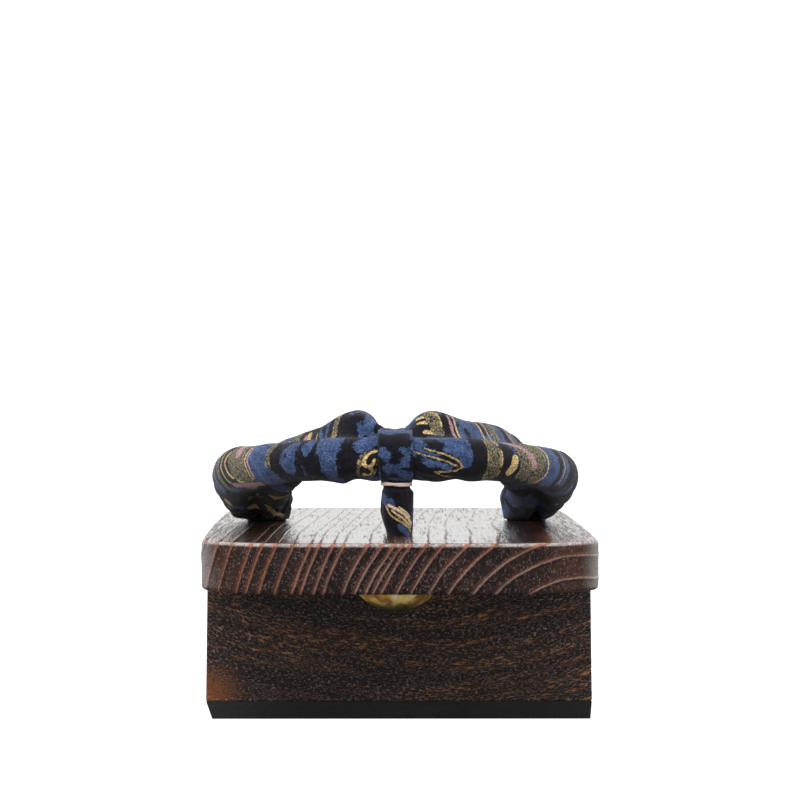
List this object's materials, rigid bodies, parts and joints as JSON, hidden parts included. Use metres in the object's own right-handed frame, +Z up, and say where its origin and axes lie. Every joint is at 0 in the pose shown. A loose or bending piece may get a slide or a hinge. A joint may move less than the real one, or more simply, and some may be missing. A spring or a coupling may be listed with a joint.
{
  "type": "geta sandal",
  "caption": "Wooden geta sandal: lacquered deck on cross teeth with rubber soles, held by a padded cloth thong strap.",
  "frame": {"origin": "on the floor under the middle of the deck", "axes": "+Z up, toe towards -Y and heel towards +Y, +X across"},
  "size_m": [0.1076, 0.25, 0.0854],
  "materials": {
    "deck_lacquer": "glossy lacquer over ring-figured wood",
    "burned_wood": "burned and brushed, low sheen",
    "sole_rubber": "matte",
    "printed_cloth": "woven print over padding",
    "pale_thread": "twisted thread",
    "cap_brass": "aged, satin",
    "knot_cord": "plain cord"
  },
  "bodies": {
    "root": {"deck": "deck_lacquer", "front_tooth": "burned_wood", "rear_tooth": "burned_wood", "front_sole_pad": "sole_rubber", "rear_sole_pad": "sole_rubber", "hanao_strap": "printed_cloth", "front_loop": "printed_cloth", "binding_thread": "pale_thread", "knot_cap": "cap_brass", "rear_knot_left": "knot_cord", "rear_knot_right": "knot_cord"}
  },
  "joints": []
}
